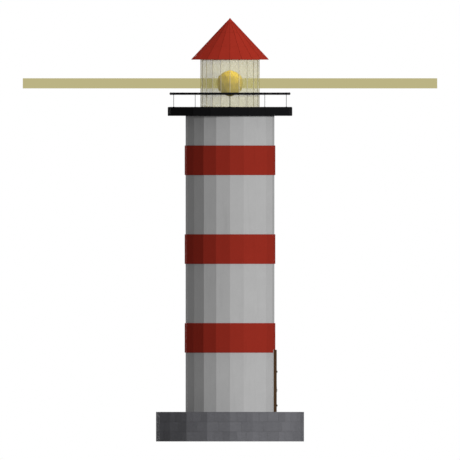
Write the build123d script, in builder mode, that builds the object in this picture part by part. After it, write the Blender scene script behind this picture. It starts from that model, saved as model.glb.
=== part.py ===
from build123d import *
import os
from math import cos, hypot, radians, sin, sqrt

# Lighthouse: a twenty-sided masonry tower on a drum plinth, with a gallery, a glazed lantern, a turning optic
# and a hinged door.
#
# Millimetres. +Z is up, and the origin is the middle of the plinth's underside, at ground level. The door
# faces +X. Every ring of the building is a regular polygon with a corner on +X, and its radius is measured to
# its corners.

# ---------------------------------------------------------------- driving dimensions

sides = 20

# Plinth and ground floor
plinth_radius = 3500
plinth_height = 1400
plinth_chamfer = 20
floor_thickness = 50

# Shaft: wall sectors stacked in lifts, with each joint between two lifts behind a raised band
shaft_radius = 2100
shaft_height = 14000
wall_thickness = 450
facets_per_sector = 4
first_band_rise = 3500
band_pitch = 4200
band_height = 1400
band_projection = 45
band_chamfer = 12

# Gallery: a deck and one pipe rail on slim posts
deck_overhang = 840
deck_thickness = 420
deck_chamfer = 12
rail_inset = 140
rail_rise = 630
rail_pipe_radius = 56
rail_pipe_wall = 6
post_radius = 12.5
post_foot_radius = 45
post_foot_thickness = 10
corners_per_post = 2

# Lantern: panes between corner bars, a sill and a head
lantern_radius = 1400
lantern_height = 2240
bar_width = 14
bar_depth = 32
rim_height = 24
pane_setback = 14
pane_thickness = 12

# Roof
roof_overhang = 420
roof_height = 1960
roof_thickness = 10
eaves_thickness = 15

# Optic: a hollow faceted lens on a spindle that turns in a bearing let into the deck
lens_radius = 630
lens_wall = 15
lens_rise = 1120
foot_radius = 34
foot_thickness = 30
spigot_radius = 12
spigot_length = 20
spindle_radius = 20
spindle_table_thickness = 12
spindle_clearance = 0.1
spindle_end_gap = 0.3
bearing_radius = 60
bearing_depth = 200
bearing_floor = 20
bearing_flange_radius = 100
bearing_flange_thickness = 12

# Door case: a timber frame with a fixed panel over the leaf, on a flat seat that the masonry carries out
case_width = 1260
case_height = 2940
case_depth = 140
seat_inset = 35
frame_width = 100
threshold_height = 50
transom_height = 100
rebate_width = 15
stop_depth = 85
overpanel_thickness = 40
overpanel_recess = 50

# Door leaf and its ironwork
leaf_height = 2100
leaf_thickness = 56
leaf_gap = 8
leaf_back_gap = 5
ledge_height = 140
ledge_thickness = 30
ledge_inset = 40
ledge_rise = 180
strap_height = 60
strap_thickness = 8
strap_length = 820
strap_tip_length = 60
strap_rise = 250
eye_radius = 18
pin_radius = 9
pin_clearance = 0.1
pin_top_length = 10
pin_inset = 30
pintle_seat_gap = 0.3
pintle_seat_height = 20
pintle_plate_width = 44
pintle_plate_height = 150
pintle_plate_thickness = 5
latch_inset = 90
latch_rise = 1000
latch_plate_width = 90
latch_plate_height = 220
latch_plate_thickness = 5
ring_radius = 45
ring_wire_radius = 7
ring_boss_radius = 14
ring_boss_length = 24
ring_standoff = 14

# ---------------------------------------------------------------- values worked out from them

corner_angle = 360 / sides
half_corner = radians(corner_angle / 2)
corners = range(sides)

inner_radius = shaft_radius - wall_thickness / cos(half_corner)
shaft_top = plinth_height + shaft_height
band_middles = [plinth_height + first_band_rise + band_pitch * index for index in range(3)]
lift_levels = [plinth_height, band_middles[0], band_middles[1], shaft_top]
sector_half = facets_per_sector // 2

deck_radius = shaft_radius + deck_overhang
deck_top = shaft_top + deck_thickness
rail_radius = deck_radius - rail_inset
rail_z = deck_top + rail_rise
sill_top = deck_top + rim_height
lantern_top = deck_top + lantern_height
head_bottom = lantern_top - rim_height
pane_radius = lantern_radius - pane_setback / cos(half_corner)
roof_radius = lantern_radius + roof_overhang
shell_bottom = lantern_top + eaves_thickness
shell_height = roof_height - eaves_thickness

lens_z = deck_top + lens_rise
lens_bottom = lens_z - lens_radius
bearing_bottom = deck_top - bearing_depth
spindle_bottom = bearing_bottom + bearing_floor + spindle_end_gap

seat_x = shaft_radius - seat_inset
case_front_x = seat_x + case_depth
case_top = plinth_height + case_height
doorway_width = case_width - 2 * frame_width
doorway_top = case_top - frame_width
threshold_top = plinth_height + threshold_height

leaf_width = doorway_width + 2 * rebate_width - 2 * leaf_gap
leaf_bottom = threshold_top + leaf_gap
leaf_top = leaf_bottom + leaf_height
leaf_back_x = seat_x + stop_depth + leaf_back_gap
leaf_front_x = leaf_back_x + leaf_thickness
transom_bottom = leaf_top + leaf_gap - rebate_width
transom_top = transom_bottom + transom_height
hinge_x = leaf_front_x + eye_radius
hinge_y = leaf_width / 2 + pin_inset
strap_levels = [leaf_bottom + strap_rise, leaf_top - strap_rise]
ledge_levels = [leaf_bottom + ledge_rise, (leaf_bottom + leaf_top) / 2, leaf_top - ledge_rise]
latch_y = latch_inset - leaf_width / 2
latch_z = leaf_bottom + latch_rise


def corner(radius, index):
    """A corner of the polygon of this radius, counted from the one on +X."""
    angle = radians(corner_angle * index)
    return (radius * cos(angle), radius * sin(angle))


def wall_plan(first_corner, last_corner):
    """The plan of the shaft's wall between two of its corners."""
    run = range(first_corner, last_corner + 1)
    outer = [corner(shaft_radius, index) for index in run]
    inner = [corner(inner_radius, index) for index in reversed(run)]
    with BuildSketch() as plan:
        with BuildLine():
            Polyline(*outer, *inner, close=True)
        make_face()
    return plan.sketch


def pane_plan(outer_radius, depth):
    """The plan of one straight piece between each pair of neighbouring corner bars."""
    with BuildSketch() as plan:
        RegularPolygon(outer_radius, sides)
        RegularPolygon(outer_radius - depth / cos(half_corner), sides, mode=Mode.SUBTRACT)
        with PolarLocations(lantern_radius - bar_depth / 2, sides):
            Rectangle(2 * bar_depth, bar_width, mode=Mode.SUBTRACT)
    return plan.sketch


def rail_ring(radius):
    """A round bar of this radius, mitred into a ring along the rail's line."""
    with BuildPart() as ring:
        with BuildLine() as rail_line:
            Polyline(*[(*corner(rail_radius, index), rail_z) for index in corners], close=True)
        with BuildSketch(Plane(rail_line.line @ 0, z_dir=rail_line.line % 0)):
            Circle(radius)
        sweep(transition=Transition.RIGHT)
    return ring.part


def geodesic_points(radius):
    """The corners of an icosahedron and the middles of its edges, all pushed out to one sphere."""
    golden = (1 + sqrt(5)) / 2
    pairs = [(i, j) for i in (-1, 1) for j in (-golden, golden)]
    base = [Vector(i, j, 0) for i, j in pairs]
    base += [Vector(0, i, j) for i, j in pairs]
    base += [Vector(j, 0, i) for i, j in pairs]
    edge_limit = 2.1
    middles = [
        (first + second) / 2
        for number, first in enumerate(base)
        for second in base[number + 1 :]
        if (first - second).length < edge_limit
    ]
    return [
        point.normalized() * radius + Vector(0, 0, lens_z) for point in base + middles
    ]


os.makedirs("parts", exist_ok=True)

# ---------------------------------------------------------------- plinth and floor

with BuildPart() as plinth:
    with BuildSketch():
        RegularPolygon(plinth_radius, sides)
    extrude(amount=plinth_height)
    chamfer(plinth.faces().sort_by(Axis.Z)[-1].edges(), plinth_chamfer)

plinth.part.label = "plinth"
export_step(plinth.part, "parts/plinth.step")

with BuildPart() as ground_floor:
    with BuildSketch(Plane.XY.offset(plinth_height)):
        RegularPolygon(inner_radius, sides)
    extrude(amount=floor_thickness)

ground_floor.part.label = "ground_floor"
export_step(ground_floor.part, "parts/ground_floor.step")

# The doorway's floor, from the ground floor's edge to the back of the door case.
with BuildPart() as door_sill:
    with BuildSketch(Plane.XY.offset(plinth_height)):
        Rectangle(seat_x, doorway_width, align=(Align.MIN, Align.CENTER))
        RegularPolygon(inner_radius, sides, mode=Mode.SUBTRACT)
    extrude(amount=floor_thickness)

door_sill.part.label = "door_sill"
export_step(door_sill.part, "parts/door_sill.step")

# ---------------------------------------------------------------- shaft walls

sector_names = ["east", "northeast", "northwest", "southwest", "southeast"]
lift_names = ["ground", "middle", "upper"]

for lift_name, lift_bottom, lift_top in zip(lift_names, lift_levels, lift_levels[1:]):
    for number, sector_name in enumerate(sector_names):
        # The doorway's jambs and lintel stand in for the ground lift's east sector.
        if lift_name == "ground" and sector_name == "east":
            continue
        first_corner = number * facets_per_sector - sector_half
        with BuildPart() as wall:
            with BuildSketch(Plane.XY.offset(lift_bottom)):
                add(wall_plan(first_corner, first_corner + facets_per_sector))
            extrude(amount=lift_top - lift_bottom)
        wall_name = f"{lift_name}_wall_{sector_name}"
        wall.part.label = wall_name
        export_step(wall.part, f"parts/{wall_name}.step")

# Each jamb comes out of its facet as a flat pad, which is the door case's seat.
for side_name, side, seat_align in (("south", -1, Align.MIN), ("north", 1, Align.MAX)):
    first_corner = min(0, side * sector_half)
    with BuildPart() as jamb:
        with BuildSketch(Plane.XY.offset(plinth_height)):
            add(wall_plan(first_corner, first_corner + sector_half))
            with Locations((seat_x, side * case_width / 2)):
                Rectangle(wall_thickness / 2, case_width / 4, align=(Align.MAX, seat_align))
            Rectangle(2 * case_front_x, doorway_width, mode=Mode.SUBTRACT)
        extrude(amount=doorway_top - plinth_height)
    jamb.part.label = f"door_jamb_{side_name}"
    export_step(jamb.part, f"parts/door_jamb_{side_name}.step")

# The lintel has the same seat as far up as the door case goes, and plain facets above it.
with BuildPart() as door_lintel:
    with BuildSketch(Plane.XY.offset(doorway_top)):
        add(wall_plan(-sector_half, sector_half))
        with Locations((seat_x, 0)):
            Rectangle(wall_thickness / 2, case_width, align=(Align.MAX, Align.CENTER))
            Rectangle(case_depth, case_width, align=(Align.MIN, Align.CENTER), mode=Mode.SUBTRACT)
    extrude(amount=case_top - doorway_top)
    with BuildSketch(Plane.XY.offset(case_top)):
        add(wall_plan(-sector_half, sector_half))
    extrude(amount=lift_levels[1] - case_top)

door_lintel.part.label = "door_lintel"
export_step(door_lintel.part, "parts/door_lintel.step")

# ---------------------------------------------------------------- raised bands

for band_name, band_middle in zip(("lower", "middle", "upper"), band_middles):
    band_bottom = Plane.XY.offset(band_middle - band_height / 2)
    with BuildPart() as band:
        with BuildSketch(band_bottom):
            RegularPolygon(shaft_radius + band_projection, sides)
        extrude(amount=band_height)
        chamfer(band.faces().filter_by(Axis.Z).edges(), band_chamfer)
        with BuildSketch(band_bottom):
            RegularPolygon(shaft_radius, sides)
        extrude(amount=band_height, mode=Mode.SUBTRACT)
        # The head of the door case stands up into the lowest band.
        with BuildSketch(Plane.XY.offset(plinth_height)):
            Rectangle(case_front_x, case_width, align=(Align.MIN, Align.CENTER))
        extrude(amount=case_height, mode=Mode.SUBTRACT)
    band.part.label = f"band_{band_name}"
    export_step(band.part, f"parts/band_{band_name}.step")

# ---------------------------------------------------------------- gallery

with BuildPart() as gallery_deck:
    with BuildSketch(Plane.XY.offset(shaft_top)):
        RegularPolygon(deck_radius, sides)
    extrude(amount=deck_thickness)
    chamfer(gallery_deck.faces().filter_by(Axis.Z).edges(), deck_chamfer)
    with Locations((0, 0, deck_top)):
        Hole(bearing_radius, bearing_depth)

gallery_deck.part.label = "gallery_deck"
export_step(gallery_deck.part, "parts/gallery_deck.step")

with BuildPart() as gallery_rail:
    add(rail_ring(rail_pipe_radius))
    add(rail_ring(rail_pipe_radius - rail_pipe_wall), mode=Mode.SUBTRACT)

gallery_rail.part.label = "gallery_rail"
export_step(gallery_rail.part, "parts/gallery_rail.step")

# Each post has a round foot on the deck, and its head is coped to the pipe.
with BuildPart() as gallery_posts:
    with BuildSketch(Plane.XY.offset(deck_top)):
        with PolarLocations(rail_radius, sides // corners_per_post, start_angle=corner_angle):
            Circle(post_foot_radius)
    extrude(amount=post_foot_thickness)
    with BuildSketch(Plane.XY.offset(deck_top)):
        with PolarLocations(rail_radius, sides // corners_per_post, start_angle=corner_angle):
            Circle(post_radius)
    extrude(amount=rail_rise)
    add(rail_ring(rail_pipe_radius), mode=Mode.SUBTRACT)

gallery_posts.part.label = "gallery_posts"
export_step(gallery_posts.part, "parts/gallery_posts.step")

# ---------------------------------------------------------------- lantern

with BuildPart() as lantern_bars:
    with BuildSketch(Plane.XY.offset(deck_top)):
        with PolarLocations(lantern_radius - bar_width / 2 * sin(half_corner), sides):
            Rectangle(bar_depth, bar_width, align=(Align.MAX, Align.CENTER))
    extrude(amount=lantern_height)

lantern_bars.part.label = "lantern_bars"
export_step(lantern_bars.part, "parts/lantern_bars.step")

for rim_name, rim_bottom in (("sills", deck_top), ("heads", head_bottom)):
    with BuildPart() as rim:
        with BuildSketch(Plane.XY.offset(rim_bottom)):
            add(pane_plan(lantern_radius, bar_depth))
        extrude(amount=rim_height)
    rim.part.label = f"lantern_{rim_name}"
    export_step(rim.part, f"parts/lantern_{rim_name}.step")

with BuildPart() as lantern_glass:
    with BuildSketch(Plane.XY.offset(sill_top)):
        add(pane_plan(pane_radius, pane_thickness))
    extrude(amount=head_bottom - sill_top)

lantern_glass.part.label = "lantern_glass"
export_step(lantern_glass.part, "parts/lantern_glass.step")

# ---------------------------------------------------------------- roof

with BuildPart() as roof_eaves:
    with BuildSketch(Plane.XY.offset(lantern_top)):
        RegularPolygon(roof_radius, sides)
    extrude(amount=eaves_thickness)

roof_eaves.part.label = "roof_eaves"
export_step(roof_eaves.part, "parts/roof_eaves.step")

# The pyramid's underside is a smaller pyramid, its faces parallel to the ones outside.
eaves_apothem = roof_radius * cos(half_corner)
underside_drop = roof_thickness * hypot(shell_height, eaves_apothem) / eaves_apothem
underside_scale = (shell_height - underside_drop) / shell_height

with BuildPart() as roof_shell:
    for scale_factor, mode in ((1, Mode.ADD), (underside_scale, Mode.SUBTRACT)):
        rim_corners = [(*corner(roof_radius * scale_factor, index), shell_bottom) for index in corners]
        apex = (0, 0, shell_bottom + shell_height * scale_factor)
        ConvexPolyhedron([*rim_corners, apex], mode=mode)

roof_shell.part.label = "roof_shell"
export_step(roof_shell.part, "parts/roof_shell.step")

# ---------------------------------------------------------------- optic

with BuildPart() as optic_bearing:
    with BuildSketch(Plane.XY.offset(bearing_bottom)):
        Circle(bearing_radius)
    extrude(amount=bearing_depth)
    with BuildSketch(Plane.XY.offset(deck_top)):
        Circle(bearing_flange_radius)
    extrude(amount=bearing_flange_thickness)
    with Locations((0, 0, deck_top + bearing_flange_thickness)):
        Hole(spindle_radius + spindle_clearance, bearing_flange_thickness + bearing_depth - bearing_floor)

optic_bearing.part.label = "optic_bearing"
export_step(optic_bearing.part, "parts/optic_bearing.step")

with BuildPart() as optic_spindle:
    with BuildSketch(Plane.XY.offset(spindle_bottom)):
        Circle(spindle_radius)
    extrude(amount=lens_bottom - spindle_bottom)
    with BuildSketch(Plane.XY.offset(lens_bottom - spindle_table_thickness)):
        Circle(foot_radius)
    extrude(amount=spindle_table_thickness)
    with BuildSketch(Plane.XY.offset(lens_bottom)):
        Circle(spigot_radius)
    extrude(amount=spigot_length)

optic_spindle.part.label = "optic_spindle"
export_step(optic_spindle.part, "parts/optic_spindle.step")

with BuildPart() as optic_lens:
    ConvexPolyhedron(geodesic_points(lens_radius))
    ConvexPolyhedron(geodesic_points(lens_radius - lens_wall), mode=Mode.SUBTRACT)
    with BuildSketch(Plane.XY.offset(lens_bottom)):
        Circle(foot_radius)
    extrude(amount=foot_thickness)
    with BuildSketch(Plane.XY.offset(lens_bottom)):
        Circle(spigot_radius)
    extrude(amount=spigot_length, mode=Mode.SUBTRACT)

optic_lens.part.label = "optic_lens"
export_step(optic_lens.part, "parts/optic_lens.step")

# ---------------------------------------------------------------- door case

# The frame is drawn on its back, which lies on the seat, and has a rebate for the leaf in its front.
seat_plane = Plane.YZ.offset(seat_x)
rebate_top = leaf_top + leaf_gap

with BuildPart() as door_frame:
    with BuildSketch(seat_plane):
        with Locations((0, plinth_height)):
            Rectangle(case_width, case_height, align=(Align.CENTER, Align.MIN))
        with Locations((0, threshold_top)):
            Rectangle(
                doorway_width,
                transom_bottom - threshold_top,
                align=(Align.CENTER, Align.MIN),
                mode=Mode.SUBTRACT,
            )
        with Locations((0, transom_top)):
            Rectangle(
                doorway_width,
                doorway_top - transom_top,
                align=(Align.CENTER, Align.MIN),
                mode=Mode.SUBTRACT,
            )
    extrude(amount=case_depth)
    with BuildSketch(seat_plane.offset(stop_depth)):
        with Locations((0, threshold_top)):
            Rectangle(
                doorway_width + 2 * rebate_width,
                rebate_top - threshold_top,
                align=(Align.CENTER, Align.MIN),
            )
    extrude(amount=case_depth - stop_depth, mode=Mode.SUBTRACT)

door_frame.part.label = "door_frame"
export_step(door_frame.part, "parts/door_frame.step")

with BuildPart() as door_overpanel:
    with BuildSketch(seat_plane.offset(case_depth - overpanel_recess - overpanel_thickness)):
        with Locations((0, transom_top)):
            Rectangle(doorway_width, doorway_top - transom_top, align=(Align.CENTER, Align.MIN))
    extrude(amount=overpanel_thickness)

door_overpanel.part.label = "door_overpanel"
export_step(door_overpanel.part, "parts/door_overpanel.step")

# Each pintle is a plate on the frame, a shelf that carries the strap's eye, and the pin through the eye.
with BuildPart() as door_pintles:
    for strap_level in strap_levels:
        shelf_top = strap_level - strap_height / 2 - pintle_seat_gap
        shelf_bottom = shelf_top - pintle_seat_height
        with BuildSketch(Plane.YZ.offset(case_front_x)):
            with Locations((hinge_y, shelf_bottom + pintle_seat_height / 2)):
                Rectangle(pintle_plate_width, pintle_plate_height, align=(Align.CENTER, Align.MAX))
        extrude(amount=pintle_plate_thickness)
        with BuildSketch(Plane.XY.offset(shelf_bottom)):
            with Locations((hinge_x, hinge_y)):
                Circle(eye_radius)
                Rectangle(hinge_x - case_front_x, 2 * eye_radius, align=(Align.MAX, Align.CENTER))
        extrude(amount=pintle_seat_height)
        with BuildSketch(Plane.XY.offset(shelf_top)):
            with Locations((hinge_x, hinge_y)):
                Circle(pin_radius)
        extrude(amount=pintle_seat_gap + strap_height + pin_top_length)

door_pintles.part.label = "door_pintles"
export_step(door_pintles.part, "parts/door_pintles.step")

# ---------------------------------------------------------------- door leaf

with BuildPart() as door_leaf:
    with BuildSketch(Plane.YZ.offset(leaf_back_x)):
        with Locations((0, leaf_bottom)):
            Rectangle(leaf_width, leaf_height, align=(Align.CENTER, Align.MIN))
    extrude(amount=leaf_thickness)

door_leaf.part.label = "door_leaf"
export_step(door_leaf.part, "parts/door_leaf.step")

with BuildPart() as door_ledges:
    with BuildSketch(Plane.YZ.offset(leaf_back_x - ledge_thickness)):
        with Locations(*[(0, level) for level in ledge_levels]):
            Rectangle(doorway_width - 2 * ledge_inset, ledge_height)
    extrude(amount=ledge_thickness)

door_ledges.part.label = "door_ledges"
export_step(door_ledges.part, "parts/door_ledges.step")

# A strap lies on the leaf's face, ends in a point, and is rolled into an eye on the pin.
strap_end = hinge_y - strap_length

with BuildPart() as door_straps:
    for strap_level in strap_levels:
        strap_bottom = strap_level - strap_height / 2
        strap_top = strap_level + strap_height / 2
        with BuildSketch(Plane.YZ.offset(leaf_front_x)):
            with BuildLine():
                Polyline(
                    (hinge_y, strap_bottom),
                    (hinge_y, strap_top),
                    (strap_end + strap_tip_length, strap_top),
                    (strap_end, strap_level),
                    (strap_end + strap_tip_length, strap_bottom),
                    close=True,
                )
            make_face()
        extrude(amount=strap_thickness)
        with BuildSketch(Plane.XY.offset(strap_bottom)):
            with Locations((hinge_x, hinge_y)):
                Circle(eye_radius)
        extrude(amount=strap_height)
        with BuildSketch(Plane.XY.offset(strap_bottom)):
            with Locations((hinge_x, hinge_y)):
                Circle(pin_radius + pin_clearance)
        extrude(amount=strap_height, mode=Mode.SUBTRACT)

door_straps.part.label = "door_straps"
export_step(door_straps.part, "parts/door_straps.step")

# The latch: a plate on the leaf's face with a boss, and a ring that hangs from the boss.
latch_face = Plane.YZ.offset(leaf_front_x)

with BuildPart() as door_ring:
    with BuildSketch(latch_face):
        with Locations((latch_y, latch_z)):
            Rectangle(latch_plate_width, latch_plate_height)
    extrude(amount=latch_plate_thickness)
    with BuildSketch(latch_face.offset(latch_plate_thickness)):
        with Locations((latch_y, latch_z)):
            Circle(ring_boss_radius)
    extrude(amount=ring_boss_length)
    with Locations((leaf_front_x + latch_plate_thickness + ring_standoff, latch_y, latch_z - ring_radius)):
        Torus(ring_radius, ring_wire_radius, rotation=(0, 90, 0))

door_ring.part.label = "door_ring"
export_step(door_ring.part, "parts/door_ring.step")
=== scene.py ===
"""The lighthouse's looks: granite, painted render, sheet metal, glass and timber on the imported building."""

from math import atan2, ceil, cos, floor, pi, radians, sin, sqrt, tan

import bmesh
import bpy
from bpy.props import FloatProperty, FloatVectorProperty, IntProperty, PointerProperty
from mathutils import Matrix, Vector


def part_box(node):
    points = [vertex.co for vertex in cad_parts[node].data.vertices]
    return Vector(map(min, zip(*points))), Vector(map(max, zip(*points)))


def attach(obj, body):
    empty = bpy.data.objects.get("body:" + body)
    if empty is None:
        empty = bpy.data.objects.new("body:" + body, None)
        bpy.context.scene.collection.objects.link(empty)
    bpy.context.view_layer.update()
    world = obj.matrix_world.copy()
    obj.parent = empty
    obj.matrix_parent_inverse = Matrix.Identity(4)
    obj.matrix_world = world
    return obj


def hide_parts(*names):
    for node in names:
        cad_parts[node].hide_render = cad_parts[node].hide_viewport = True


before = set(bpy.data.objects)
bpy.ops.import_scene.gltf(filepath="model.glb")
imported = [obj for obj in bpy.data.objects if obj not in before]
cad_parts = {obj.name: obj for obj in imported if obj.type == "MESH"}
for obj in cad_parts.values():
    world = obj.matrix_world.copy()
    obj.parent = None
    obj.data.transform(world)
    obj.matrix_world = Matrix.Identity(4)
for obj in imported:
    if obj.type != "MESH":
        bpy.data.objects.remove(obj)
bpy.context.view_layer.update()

bl_info = {
    "name": "Lighthouse looks",
    "version": (1, 0, 0),
    "blender": (4, 5, 0),
    "location": "View3D > Sidebar > Lighthouse",
    "description": "Dresses the packed lighthouse in granite, render, sheet metal, glass and timber",
    "category": "Object",
}

TOWER = "tower"
DOOR = "door"
OPTIC = "optic"

# Every ring of the building is a regular polygon with a corner on +X. Its radius is measured to its corners.
SIDES = 20
FACET = 2 * pi / SIDES
APOTHEM = cos(FACET / 2)

# How far small pieces are let into what carries them, so that no gap shows behind them.
SINK = 0.001

# Turns what stands along X upright.
UPRIGHT = Matrix.Rotation(-pi / 2, 4, "Y")

# The lens is an icosahedron, and each of its 20 faces is cut in four.
LENS_FACETS = 80

# ---------------------------------------------------------------- places read from the frame


def low(node):
    """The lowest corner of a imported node."""
    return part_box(node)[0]


def high(node):
    """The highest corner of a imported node. Its x is the corner radius of a ring of the building."""
    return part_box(node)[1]


PLINTH_RADIUS = high("plinth").x
PLINTH_TOP = high("plinth").z
SHAFT_RADIUS = high("upper_wall_east").x
DECK_RADIUS = high("gallery_deck").x
DECK_BASE = low("gallery_deck").z
DECK_TOP = high("gallery_deck").z
RAIL_Z = (low("gallery_rail").z + high("gallery_rail").z) / 2
RAIL_PIPE = (high("gallery_rail").z - low("gallery_rail").z) / 2
RAIL_RADIUS = high("gallery_rail").x - RAIL_PIPE / APOTHEM
PANE_BASE = low("lantern_glass").z
PANE_TOP = high("lantern_glass").z
LANTERN_RADIUS = high("lantern_bars").x
LANTERN_TOP = high("lantern_heads").z
ROOF_RADIUS = high("roof_shell").x
ROOF_APEX = high("roof_shell").z
ROOF_RISE = ROOF_APEX - low("roof_shell").z
ROOF_HIP = sqrt(ROOF_RISE * ROOF_RISE + ROOF_RADIUS * ROOF_RADIUS)
LENS_RADIUS = high("optic_lens").x
LENS_Z = (low("optic_lens").z + high("optic_lens").z) / 2
CASE_LOW = low("door_frame")
CASE_HIGH = high("door_frame")
LEAF_LOW = low("door_leaf")
LEAF_HIGH = high("door_leaf")
LEAF_LAP = 0.007  # how far the frame reaches over the leaf's edges

# ---------------------------------------------------------------- settings


def length(name, description, default, most=5.0):
    """A length in metres that a user can set."""
    return FloatProperty(
        name=name, description=description, default=default, min=0.0, max=most, precision=4, unit="LENGTH"
    )


def share(name, description, default):
    """A share between nothing and all of something."""
    return FloatProperty(
        name=name, description=description, default=default, min=0.0, max=1.0, subtype="FACTOR"
    )


def count(name, description, default, least=1, most=64):
    """A number of like pieces."""
    return IntProperty(name=name, description=description, default=default, min=least, max=most)


def paint(name, description, default):
    """A colour, given as a screen shows it."""
    return FloatVectorProperty(
        name=name, description=description, default=default, min=0.0, max=1.0, size=3, subtype="COLOR_GAMMA"
    )


def brightness(name, description, default, unit="NONE"):
    """How brightly a lamp or the sky shines. Only a lamp that has a place is given in watts."""
    return FloatProperty(name=name, description=description, default=default, min=0.0, unit=unit)


def bearing(name, description, default):
    """A direction round the tower, counted from the camera towards the door's side."""
    return FloatProperty(
        name=name, description=description, default=radians(default), min=-pi, max=pi, subtype="ANGLE"
    )


class PlinthSettings(bpy.types.PropertyGroup):
    """The plinth's granite courses and paving."""

    courses: count("Courses", "Courses of stone in the plinth's height", 3)
    joint: length("Joint", "Width of the mortar joints", 0.008, 0.05)
    joint_depth: length("Joint depth", "How far the mortar lies behind the stones' faces", 0.006, 0.05)
    arris: length("Arris", "Easing of each stone's edges", 0.005, 0.05)
    bed: length("Bed", "How far the stones reach into the plinth", 0.45)
    paving_rows: count("Paving rows", "Rings of paving between the plinth's edge and the shaft", 2)
    paving_depth: length("Paving depth", "Thickness of the paving", 0.1)
    granite: paint("Granite", "The plinth's dressed granite", (0.412, 0.412, 0.428))


class ShaftSettings(bpy.types.PropertyGroup):
    """The shaft's painted render and its raised bands."""

    render: paint("Render", "The shaft's grey render", (0.686, 0.686, 0.686))
    limewash: paint("Limewash", "The wall's inner face", (0.78, 0.77, 0.73))
    band: paint("Band", "The raised bands' red", (0.561, 0.169, 0.125))
    flags: paint("Flags", "The floor's stone flags", (0.42, 0.41, 0.40))
    sill: paint("Sill", "The door sill's granite", (0.40, 0.40, 0.41))
    stucco: length("Stucco", "Depth of the render's grain", 0.0015, 0.02)
    stain: share("Stain", "Strength of the rain streaks", 0.16)


class GallerySettings(bpy.types.PropertyGroup):
    """The gallery's deck plates, bolts and rail."""

    black: paint("Black", "The gallery's paint", (0.083, 0.083, 0.088))
    bolt_radius: length("Bolt radius", "Radius of the domed bolt heads on the deck's edge", 0.014, 0.1)
    bolts_per_facet: count("Bolts per facet", "Bolt heads along one facet of the deck's edge", 6)
    cover_width: length("Cover width", "Width of the strip over each corner of the deck's edge", 0.11, 0.5)
    cover_thickness: length("Cover thickness", "Thickness of those strips", 0.006, 0.05)
    weld: length("Weld", "Radius of the weld bead at each mitre of the rail", 0.006, 0.05)


class LanternSettings(bpy.types.PropertyGroup):
    """The lantern's glazing."""

    glass: paint("Glass", "Tint of the old lantern glass", (0.80, 0.775, 0.55))
    density: share("Density", "How much of what lies behind one pane it hides", 0.44)
    bronze: paint("Bronze", "Colour of the lantern's bars", (0.84, 0.82, 0.735))
    bar_width: length("Bar width", "Width of the corner bars", 0.014, 0.2)
    bead: length("Bead", "Width of the glazing bead round each pane", 0.005, 0.05)
    bead_depth: length("Bead depth", "How far that bead stands off the glass", 0.010, 0.05)
    screw_radius: length("Screw radius", "Radius of the screw heads in the bars", 0.004, 0.05)
    screw_pitch: length("Screw pitch", "Distance between the screws in a bar", 0.18)


class RoofSettings(bpy.types.PropertyGroup):
    """The roof's sheet metal."""

    red: paint("Red", "The roof's paint", (0.576, 0.164, 0.116))
    seam_width: length("Seam width", "Width of the standing seam along each hip", 0.014, 0.1)
    seam_height: length("Seam height", "Height of those seams", 0.016, 0.1)
    laps: count("Laps", "Cross laps between the eaves and the cap", 2, 0, 8)
    cap_reach: length("Cap reach", "Slope length of the cap at the apex", 0.26)
    bead: length("Eaves bead", "Radius of the rolled edge", 0.008, 0.1)


class OpticSettings(bpy.types.PropertyGroup):
    """The turning lens."""

    amber: paint("Amber", "The lens glass", (0.81, 0.685, 0.145))
    brass: paint("Brass", "The strips that hold the lens's facets", (0.80, 0.66, 0.30))
    steel: paint("Steel", "The lacquered spindle", (0.84, 0.83, 0.78))
    prisms: count("Prisms", "Prism steps cut into each facet", 4, 1, 12)
    prism_depth: length("Prism depth", "Height of one prism step", 0.0015, 0.05)
    strip_width: length("Strip width", "Width of the strip along each edge of the lens", 0.009, 0.05)
    strip_height: length("Strip height", "How far the strips stand proud", 0.004, 0.05)


class DoorSettings(bpy.types.PropertyGroup):
    """The door's boards, nails and ironwork."""

    timber: paint("Timber", "The oiled timber", (0.29, 0.21, 0.135))
    iron: paint("Iron", "The black ironwork", (0.09, 0.09, 0.095))
    boards: count("Boards", "Boards in the leaf's width", 9)
    groove: length("Groove", "Easing of each board's edges", 0.005, 0.05)
    nail_radius: length("Nail radius", "Radius of the rose-headed nails", 0.009, 0.05)
    bolt_radius: length("Strap bolt radius", "Radius of the straps' bolt heads", 0.012, 0.05)
    bolts_per_strap: count("Bolts per strap", "Bolt heads along a strap", 5, 2)
    ledge_height: length("Ledge height", "Height of the ledges behind the boards", 0.14)
    strap_height: length("Strap height", "Height of the strap hinges", 0.06)
    strap_thickness: length("Strap thickness", "Thickness of the strap hinges", 0.008, 0.05)
    moulding: length("Moulding", "Width of the moulding round the frame", 0.022, 0.2)


class StageSettings(bpy.types.PropertyGroup):
    """The studio: lamps, floor, camera and the light beams."""

    ambient: brightness("Ambient", "Light from all round", 0.232)
    side_light: brightness("Side light", "Strength of the side lamp", 2.56)
    side_bearing: bearing("Side bearing", "Where the side lamp stands", 38)
    fill_light: brightness("Fill light", "Strength of the lamp on the other side", 0.34)
    fill_bearing: bearing("Fill bearing", "Where that lamp stands", -108)
    back_light: brightness("Back light", "Strength of the lamp behind", 1.0)
    top_light: brightness("Top light", "Strength of the top lamp", 2.0)
    ceiling_light: brightness("Ceiling light", "Power of the lamp under the lantern's ceiling", 17.0, "POWER")
    lens_light: brightness("Lens light", "Power of the lamp beside the lens", 4.5, "POWER")
    frame_width: length("Frame width", "Width that the camera sees", 21.757, 100.0)
    eye_height: length("Eye height", "Height of the camera above the ground", 10.003, 100.0)
    beam_reach: length("Beam reach", "Length of each light beam from the lamp", 9.8, 50.0)
    beam_radius: length("Beam radius", "Radius of each light beam", 0.24)
    beam: paint("Beam", "Colour of the light beams", (0.644, 0.597, 0.22))
    beam_density: share("Beam density", "How much one side of a beam hides", 0.553)


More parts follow.
